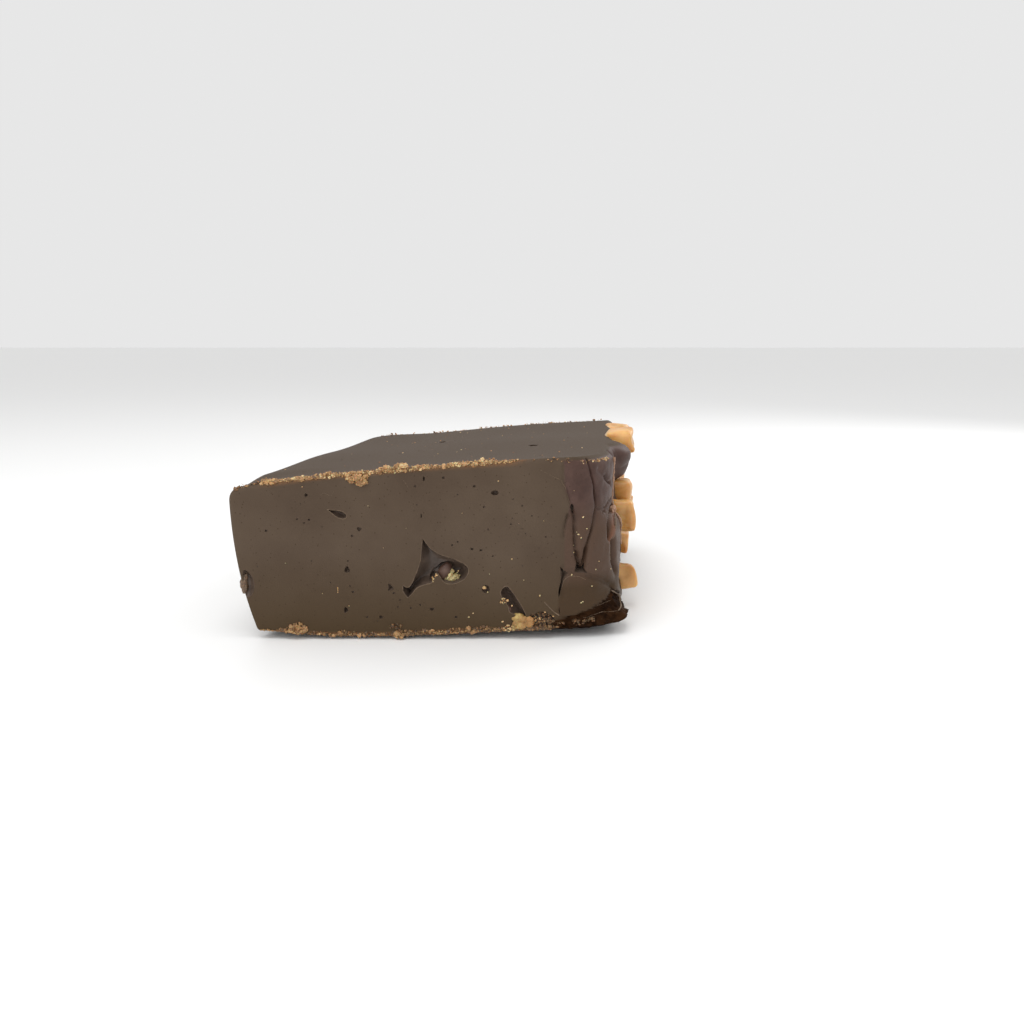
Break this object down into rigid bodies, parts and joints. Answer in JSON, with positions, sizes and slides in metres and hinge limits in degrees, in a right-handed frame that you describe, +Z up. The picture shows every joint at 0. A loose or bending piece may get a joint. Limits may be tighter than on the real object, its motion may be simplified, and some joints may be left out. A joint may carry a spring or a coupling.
{
  "type": "chocolate fudge slice",
  "caption": "Slice of poured chocolate fudge lying on a cut side, with a folded poured side, caramel pieces, air pockets and biscuit crumbs",
  "frame": {"origin": "middle of the underside of the whole part's box", "axes": "X runs from the slice's left side to the poured side, Y from the front cut to the back cut, Z up"},
  "size_m": [0.079, 0.0734, 0.0348],
  "materials": {
    "fudge": "matt cut face, slightly glossy where poured",
    "caramel": "soft gloss, slightly translucent",
    "biscuit": "matt, crumbly",
    "nut": "matt"
  },
  "bodies": {
    "root": {"fudge": "fudge", "caramel_01": "caramel", "caramel_02": "caramel", "caramel_03": "caramel", "caramel_04": "caramel", "caramel_05": "caramel", "caramel_06": "caramel", "caramel_07": "caramel", "caramel_08": "caramel", "caramel_09": "caramel", "caramel_10": "caramel", "caramel_11": "caramel", "caramel_12": "caramel", "biscuit_lump": "biscuit", "biscuit_bit": "biscuit", "nut": "nut"}
  },
  "joints": []
}
